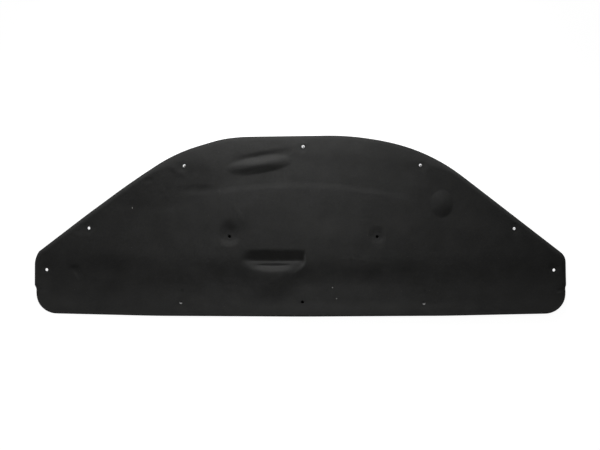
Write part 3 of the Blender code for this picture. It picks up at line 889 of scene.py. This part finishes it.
class Graph:
    """The nodes of one material or world."""

    def __init__(self, owner: bpy.types.Material | bpy.types.World) -> None:
        owner.use_nodes = True
        self.tree = owner.node_tree
        self.tree.nodes.clear()

    def node(
        self, kind: str, settings: Mapping[str, Any] | None = None, links: Links | None = None
    ) -> bpy.types.Node:
        """Adds one node.

        Args:
            kind: Blender's type of the node.
            settings: Its properties, set before its sockets.
            links: Values, sockets or readings for its inputs, by name or by number.

        Returns:
            The node.
        """
        node = self.tree.nodes.new(kind)
        for name, value in (settings or {}).items():
            setattr(node, name, value)
        for name, value in (links or {}).items():
            if isinstance(value, Reading):
                value = value.socket
            if isinstance(value, bpy.types.NodeSocket):
                self.tree.links.new(value, node.inputs[name])
            else:
                node.inputs[name].default_value = value
        return node

    def object_point(self) -> bpy.types.NodeSocket:
        """The place on the object, in its own frame."""
        return self.node("ShaderNodeTexCoord").outputs["Object"]

    def turned(self, turn_deg: float, stretch: Sequence[float]) -> bpy.types.NodeSocket:
        """The place on the object, turned about Z and then stretched along each axis."""
        turn = {"Vector": self.object_point(), "Rotation": (0, 0, math.radians(turn_deg))}
        turned = self.node("ShaderNodeMapping", {"vector_type": "POINT"}, turn)
        links = {"Vector": turned.outputs[0], "Scale": stretch}
        return self.node("ShaderNodeMapping", {"vector_type": "POINT"}, links).outputs[0]

    def ellipse(self, mark: Mark) -> Reading:
        """One on the middle of a mark and nothing past its ellipse."""
        links = {"Vector": self.object_point(), "Location": (mark.x, mark.y, 0),
                 "Rotation": (0, 0, math.radians(mark.turn_deg)),
                 "Scale": (mark.half_length, mark.half_width, 1)}
        place = self.node("ShaderNodeMapping", {"vector_type": "TEXTURE"}, links).outputs[0]
        links = {0: place, 1: (1, 1, 0)}
        flat = self.node("ShaderNodeVectorMath", {"operation": "MULTIPLY"}, links).outputs[0]
        away = self.node("ShaderNodeVectorMath", {"operation": "LENGTH"}, {0: flat}).outputs["Value"]
        return 1 - Reading(self, away).between(mark.inner, 1.0)

    def noise(self, vector: bpy.types.NodeSocket, scale: float, detail: float, rough: float = 0.5) -> Reading:
        """Fractal noise between 0 and 1, about 0.5.

        Args:
            vector: Where the pattern is read.
            scale: Features to the metre.
            detail: How many finer layers it has.
            rough: How strong each finer layer is.

        Returns:
            The noise.
        """
        links = {"Vector": vector, "Scale": scale, "Detail": detail, "Roughness": rough}
        noise = self.node("ShaderNodeTexNoise", {"noise_dimensions": "3D"}, links)
        return Reading(self, noise.outputs["Fac"])

    def attribute(self, name: str) -> Reading:
        """A number that the mesh holds at its points."""
        return Reading(self, self.node("ShaderNodeAttribute", {"attribute_name": name}).outputs["Fac"])

    def mix_colour(self, share: Any, low: Any, high: Any) -> bpy.types.NodeSocket:
        """The low colour at a share of 0 and the high one at 1."""
        node = self.node("ShaderNodeMix", {"data_type": "RGBA"}, {"Factor": share})
        for name, value in (("A", low), ("B", high)):
            socket = next(s for s in node.inputs if s.name == name and s.type == "RGBA")
            if isinstance(value, bpy.types.NodeSocket):
                self.tree.links.new(value, socket)
            else:
                socket.default_value = (*value, 1)
        return next(s for s in node.outputs if s.type == "RGBA")

    def seen(self) -> Reading:
        """One for what the camera sees, directly, in a reflection or through glass, and nothing otherwise."""
        rays = self.node("ShaderNodeLightPath").outputs
        seen = Reading(self, rays["Is Camera Ray"])
        return seen.larger(rays["Is Glossy Ray"]).larger(rays["Is Transmission Ray"])


@dataclass(frozen=True)
class Mark:
    """A soft ellipse of colour: painted shade, painted light and lint on the felt; painted shade on the
    floor.
    """

    x: float
    y: float
    half_length: float
    half_width: float
    turn_deg: float
    colour: tuple[float, float, float]
    strength: float
    inner: float = 0.1


# Painted shade: darkens creases, hollows, shadowed walls and slopes that face away from the lamps
PAINTED_SHADE_MARK = (0.010, 0.010, 0.010)
# Painted light: lightens edges, lips and slopes that face the lamps, and broad areas the lamps light more
PAINTED_LIGHT_MARK = (0.034, 0.034, 0.033)
# Painted highlight: the front wall of the pocket, which faces the key lamp
PAINTED_HIGHLIGHT_MARK = (0.052, 0.052, 0.051)
LINT_MARK = (0.420, 0.420, 0.400)
# Painted shade on the floor, seen through the holes
FLOOR_PAINTED_SHADE = (0.004, 0.004, 0.004)


@dataclass(frozen=True)
class NeedledFelt:
    """Black nonwoven facing: short tangled fibres over a slow mottle, smoother where it is pressed."""

    dark: tuple[float, float, float] = (0.0215, 0.0216, 0.0212)
    light: tuple[float, float, float] = (0.0285, 0.0287, 0.0281)
    lint: tuple[float, float, float] = (0.110, 0.110, 0.105)
    fibre_turns_deg: tuple[float, ...] = (8.0, 68.0, 127.0)
    fibre_along: float = 130.0
    fibre_across: float = 1500.0
    fibre_range: tuple[float, float] = (0.50, 0.74)
    fibre_weight: float = 0.30
    mottle_scale: float = 22.0
    mottle_weight: float = 1.1
    cloud_scale: float = 150.0
    cloud_weight: float = 0.75
    weights_less: float = 0.62
    light_range: tuple[float, float] = (-0.1, 1.1)
    lint_scale: float = 420.0
    lint_range: tuple[float, float] = (0.795, 0.83)
    lint_cover: float = 0.8
    grain_scale: float = 2600.0
    fibre_rise: float = 0.00035
    grain_rise: float = 0.00012
    rise_lost_pressed: float = 0.5
    rough_loose: float = 0.95
    rough_pressed: float = 0.80
    sheen: float = 0.05
    sheen_rough: float = 0.5
    gloss: float = 0.04
    # Mostly painted shade and painted light, with a few specks of lint
    marks: tuple[Mark, ...] = (
        # Painted shade on the left rear flank, in the blister's groove and at its foot, and in the hollow
        # beside the panel
        Mark(-0.3886, 0.131, 0.174, 0.094, 0, PAINTED_SHADE_MARK, 0.24, 0.82),
        Mark(-0.1, 0.189, 0.08, 0.0095, 9.5, PAINTED_SHADE_MARK, 0.32),
        Mark(-0.148, 0.1455, 0.046, 0.0085, 5, PAINTED_SHADE_MARK, 0.5, 0.2),
        Mark(-0.25, 0.102, 0.036, 0.014, 0, PAINTED_SHADE_MARK, 0.22),
        # Painted light in the middle, at the left front corner and along the front edge
        Mark(0.064, 0.005, 0.19, 0.052, 0, PAINTED_LIGHT_MARK, 0.45),
        Mark(-0.64, -0.202, 0.12, 0.04, 0, PAINTED_LIGHT_MARK, 0.5),
        Mark(0.0, -0.237, 0.72, 0.016, 0, PAINTED_LIGHT_MARK, 0.6),
        Mark(0.18, -0.21, 0.42, 0.022, 0, PAINTED_LIGHT_MARK, 0.45),
        # Painted highlight on a corner of the panel, and painted shade and painted light in the creases at
        # the left end
        Mark(-0.212, 0.092, 0.0075, 0.005, -30, PAINTED_LIGHT_MARK, 0.6),
        Mark(-0.592, -0.106, 0.027, 0.01, 10, PAINTED_SHADE_MARK, 0.5),
        Mark(-0.585, -0.129, 0.021, 0.006, -60, PAINTED_LIGHT_MARK, 0.6),
        # Painted light beside the pocket, on the right flank and at the left end
        Mark(0.145, -0.096, 0.13, 0.026, 0, PAINTED_LIGHT_MARK, 0.6),
        Mark(0.45, 0.01, 0.13, 0.045, -20, PAINTED_LIGHT_MARK, 0.4),
        Mark(-0.674, -0.145, 0.034, 0.095, 0, PAINTED_LIGHT_MARK, 0.5),
        Mark(-0.58, -0.008, 0.08, 0.045, 30, PAINTED_LIGHT_MARK, 0.4),
        # Painted shade on the left slope, left of the blister and behind the left dish
        Mark(-0.495, -0.096, 0.13, 0.045, 0, PAINTED_SHADE_MARK, 0.35),
        Mark(-0.205, 0.135, 0.06, 0.05, 0, PAINTED_SHADE_MARK, 0.28),
        Mark(-0.168, 0.002, 0.06, 0.032, 0, PAINTED_SHADE_MARK, 0.4),
        # Painted highlight on the lip by the left shoulder, painted shade under the blister and at the left
        # front corner, painted light right of the middle and at the right front corner
        Mark(-0.575, -0.024, 0.022, 0.009, -35, PAINTED_LIGHT_MARK, 0.7),
        Mark(-0.095, 0.157, 0.075, 0.008, 9.5, PAINTED_SHADE_MARK, 0.35),
        Mark(-0.496, -0.165, 0.06, 0.038, 0, PAINTED_SHADE_MARK, 0.32),
        Mark(0.26, 0.005, 0.095, 0.042, 0, PAINTED_LIGHT_MARK, 0.38),
        Mark(0.627, -0.205, 0.11, 0.034, 0, PAINTED_LIGHT_MARK, 0.35),
        # Painted light and painted shade at the right end of the pocket and in the notches
        Mark(0.03, -0.095, 0.032, 0.02, 0, PAINTED_LIGHT_MARK, 0.45),
        Mark(0.008, -0.089, 0.007, 0.014, 0, PAINTED_SHADE_MARK, 0.5),
        Mark(0.682, -0.1635, 0.015, 0.0045, 10, PAINTED_SHADE_MARK, 0.6),
        Mark(0.678, -0.173, 0.014, 0.0045, 10, PAINTED_LIGHT_MARK, 0.9),
        Mark(-0.682, -0.163, 0.011, 0.0042, 0, PAINTED_SHADE_MARK, 0.4),
        Mark(-0.67, -0.1715, 0.018, 0.006, 10, PAINTED_LIGHT_MARK, 0.5),
        # Painted shade before the pocket and on the slope
        Mark(-0.085, -0.185, 0.1, 0.03, 0, PAINTED_SHADE_MARK, 0.28),
        Mark(-0.323, -0.152, 0.25, 0.046, 0, PAINTED_SHADE_MARK, 0.25),
        Mark(0.339, -0.157, 0.15, 0.05, 0, PAINTED_SHADE_MARK, 0.22),
        # Painted highlight on the lit front wall of the pocket, with a line of painted shade on it
        Mark(-0.07, -0.1097, 0.068, 0.0135, 0, PAINTED_HIGHLIGHT_MARK, 0.62, 0.4),
        Mark(-0.0655, -0.0931, 0.082, 0.0028, 0, PAINTED_HIGHLIGHT_MARK, 0.35, 0.7),
        Mark(-0.0715, -0.1003, 0.054, 0.004, 0, PAINTED_SHADE_MARK, 1.0, 0.6),
        # Specks of lint and small shadows
        Mark(0.084, -0.1609, 0.0021, 0.0017, 30, LINT_MARK, 0.95, 0.2),
        Mark(0.0947, -0.1897, 0.0022, 0.0017, 0, LINT_MARK, 0.8, 0.2),
        Mark(-0.4354, 0.048, 0.005, 0.0032, 80, PAINTED_SHADE_MARK, 0.6, 0.2),
        Mark(-0.4386, 0.0475, 0.0032, 0.0017, 90, LINT_MARK, 0.8, 0.2),
        Mark(-0.3095, -0.168, 0.0065, 0.006, 0, PAINTED_SHADE_MARK, 0.45, 0.2),
        Mark(0.325, -0.168, 0.006, 0.006, 0, PAINTED_SHADE_MARK, 0.35, 0.2),
        Mark(-0.1399, -0.1334, 0.0045, 0.0035, 0, PAINTED_SHADE_MARK, 0.35, 0.2),
        Mark(0.343, 0.145, 0.006, 0.0022, -50, PAINTED_SHADE_MARK, 0.35, 0.2),
    )

    def fibres(self, graph: Graph) -> Reading:
        """Threads in a few directions: the largest of noises that are stretched along each direction."""
        stretch = (self.fibre_along, self.fibre_across, self.fibre_across)
        threads = [graph.noise(graph.turned(turn, stretch), 1.0, 2.0, 0.6) for turn in self.fibre_turns_deg]
        largest = threads[0]
        for thread in threads[1:]:
            largest = largest.larger(thread)
        return largest.between(*self.fibre_range)

    def material(self, name: str) -> bpy.types.Material:
        """The finish as a material.

        Args:
            name: The material's name.

        Returns:
            The material.
        """
        material = bpy.data.materials.new(name)
        graph = Graph(material)
        point = graph.object_point()
        pressed = graph.attribute("pressed")
        fibres = self.fibres(graph)
        mottle = graph.noise(point, self.mottle_scale, 3.0)
        cloud = graph.noise(point, self.cloud_scale, 3.0, 0.6)
        grain = graph.noise(point, self.grain_scale, 2.0)
        weighted = fibres * self.fibre_weight + mottle * self.mottle_weight + cloud * self.cloud_weight
        light = (weighted - self.weights_less).between(*self.light_range)
        felt = graph.mix_colour(light, self.dark, self.light)
        lint = graph.noise(point, self.lint_scale, 1.0).between(*self.lint_range)
        colour = graph.mix_colour(lint * self.lint_cover, felt, self.lint)
        # The marks paint shade and light into the felt's colour, and add a few specks of lint
        for mark in self.marks:
            colour = graph.mix_colour(graph.ellipse(mark) * mark.strength, colour, mark.colour)
        rough = self.rough_loose + pressed * (self.rough_pressed - self.rough_loose)
        loose = 1 - pressed * self.rise_lost_pressed
        links = {"Height": grain, "Distance": self.grain_rise, "Strength": 1.0}
        fine = graph.node("ShaderNodeBump", {}, links).outputs[0]
        links = {"Height": fibres * loose, "Distance": self.fibre_rise, "Strength": 1.0, "Normal": fine}
        bump = graph.node("ShaderNodeBump", {}, links).outputs[0]
        links = {"Base Color": colour, "Roughness": rough, "Normal": bump, "Metallic": 0.0,
                 "Sheen Weight": self.sheen, "Sheen Roughness": self.sheen_rough,
                 "Specular IOR Level": self.gloss}
        shader = graph.node("ShaderNodeBsdfPrincipled", {}, links)
        graph.node("ShaderNodeOutputMaterial", {}, {"Surface": shader.outputs[0]})
        return material


@dataclass(frozen=True)
class Lamp:
    """A soft rectangular light."""

    name: str
    place: tuple[float, float, float]
    aim: tuple[float, float, float]
    size: tuple[float, float]
    spread_deg: float
    power: float


@dataclass(frozen=True)
class Studio:
    """A pale floor, a low soft key light from behind the rear edge, a weak one, even light, and the camera.

    The floor and the world look white to the camera, and the floor keeps the pad's shadow. Under the
    middle of the pad, and under parts of a few other holes, the floor has black patches of painted shade
    that only the holes over them show.
    """

    floor_half: float = 40.0
    floor_drop: float = 0.0003
    floor_colour: tuple[float, float, float] = (0.80, 0.80, 0.80)
    floor_seen: float = 0.35
    floor_glow: float = 0.90
    # Black patches of painted shade on the floor, under the middle of the pad and under parts of a few holes
    patches: tuple[Mark, ...] = (
        Mark(0.012, -0.100, 0.620, 0.135, 0, FLOOR_PAINTED_SHADE, 1.0, 0.89),
        Mark(-0.3023, 0.1562, 0.0042, 0.0042, 0, FLOOR_PAINTED_SHADE, 0.90, 0.5),
        Mark(0.3152, 0.1578, 0.0036, 0.0036, 0, FLOOR_PAINTED_SHADE, 0.85, 0.5),
        Mark(0.0080, 0.2070, 0.0030, 0.0030, 0, FLOOR_PAINTED_SHADE, 0.80, 0.5),
        Mark(0.5598, -0.0073, 0.0024, 0.0024, 0, FLOOR_PAINTED_SHADE, 0.60, 0.5),
    )
    fill: float = 0.27
    lamps: tuple[Lamp, ...] = (
        Lamp("key", (-0.14, 1.14, 0.36), (-0.03, 0.02, 0.0), (0.50, 0.28), 76.0, 6.0),
        Lamp("side", (-1.40, -0.45, 0.42), (-0.60, -0.15, 0.0), (0.30, 0.30), 90.0, 0.50),
    )
    lens: float = 85.0
    sensor: float = 36.0
    picture: tuple[int, int] = (600, 450)
    pad_centre_px: tuple[float, float] = (300.42, 226.05)
    metres_per_px: float = 0.002618
    pad_level: float = 0.003

    def floor(self) -> bpy.types.Object:
        """The floor, just under the flat back of the pad."""
        half = self.floor_half
        corners = [(-half, -half), (half, -half), (half, half), (-half, half)]
        mesh = bpy.data.meshes.new("floor")
        mesh.from_pydata([(x, y, -self.floor_drop) for x, y in corners], [], [(0, 1, 2, 3)])
        mesh.materials.append(self.floor_material())
        floor = bpy.data.objects.new("floor", mesh)
        bpy.context.scene.collection.objects.link(floor)
        return floor

    def floor_material(self) -> bpy.types.Material:
        """A pale matt floor that glows for what the camera sees, apart from black patches of painted shade.
        """
        material = bpy.data.materials.new("floor")
        graph = Graph(material)
        clear: Any = 1.0
        shade: Any = (self.floor_seen,) * 3
        # Each patch paints shade on the floor and takes away its glow, so that the hole over it looks dark
        for patch in self.patches:
            share = graph.ellipse(patch) * patch.strength
            clear = (1 - share) * clear
            shade = graph.mix_colour(share, shade, patch.colour)
        seen = graph.seen()
        lit = graph.node("ShaderNodeBsdfDiffuse", {}, {"Color": (*self.floor_colour, 1)})
        base = graph.node("ShaderNodeBsdfDiffuse", {}, {"Color": shade})
        links = {"Color": (1, 1, 1, 1), "Strength": clear * self.floor_glow}
        glow = graph.node("ShaderNodeEmission", {}, links)
        white = graph.node("ShaderNodeAddShader", {}, {0: base.outputs[0], 1: glow.outputs[0]})
        mixed = graph.node("ShaderNodeMixShader", {}, {0: seen, 1: lit.outputs[0], 2: white.outputs[0]})
        graph.node("ShaderNodeOutputMaterial", {}, {"Surface": mixed.outputs[0]})
        return material

    def world(self) -> None:
        """Even light from all round, which looks white to the camera."""
        world = bpy.data.worlds.new("studio")
        bpy.context.scene.world = world
        graph = Graph(world)
        strength = self.fill + graph.seen() * (1 - self.fill)
        glow = graph.node("ShaderNodeBackground", {}, {"Color": (1, 1, 1, 1), "Strength": strength})
        graph.node("ShaderNodeOutputWorld", {}, {"Surface": glow.outputs[0]})

    def light(self, lamp: Lamp) -> None:
        """One lamp, turned to its aim."""
        data = bpy.data.lights.new(lamp.name, "AREA")
        data.shape = "RECTANGLE"
        data.size, data.size_y = lamp.size
        data.energy = lamp.power
        data.spread = math.radians(lamp.spread_deg)
        light = bpy.data.objects.new(lamp.name, data)
        light.location = lamp.place
        aim = Vector(lamp.aim) - Vector(lamp.place)
        light.rotation_euler = aim.to_track_quat("-Z", "Y").to_euler()
        bpy.context.scene.collection.objects.link(light)

    def camera(self) -> None:
        """The camera, straight over the pad, as far away as makes a metre of the pad its width in pixels."""
        data = bpy.data.cameras.new("camera")
        data.lens, data.sensor_width = self.lens, self.sensor
        width = self.picture[0] * self.metres_per_px
        away = width * self.lens / self.sensor
        camera = bpy.data.objects.new("camera", data)
        x = (self.picture[0] / 2 - self.pad_centre_px[0]) * self.metres_per_px
        y = (self.pad_centre_px[1] - self.picture[1] / 2) * self.metres_per_px
        camera.location = (x, y, self.pad_level + away)
        bpy.context.scene.collection.objects.link(camera)
        bpy.context.scene.camera = camera

    def build(self) -> None:
        """Sets up the floor, the light and the camera."""
        bpy.context.scene.view_settings.view_transform = "Standard"
        self.floor()
        self.world()
        for lamp in self.lamps:
            self.light(lamp)
        self.camera()


def main() -> None:
    """Builds the studio and the pad."""
    logging.basicConfig(level=logging.INFO, format="%(name)s: %(message)s")
    Studio().build()
    face = MouldedFace(Outline(), clip_seats(frame["record"]))
    pad = PadShell(face).build("moulded_pad")
    pad.data.materials.append(NeedledFelt().material("black_felt"))
    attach(pad, "root")
    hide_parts(PAD_NODE)
    log.info("%s: %d faces", pad.name, len(pad.data.polygons))


if __name__ == "__main__":
    main()
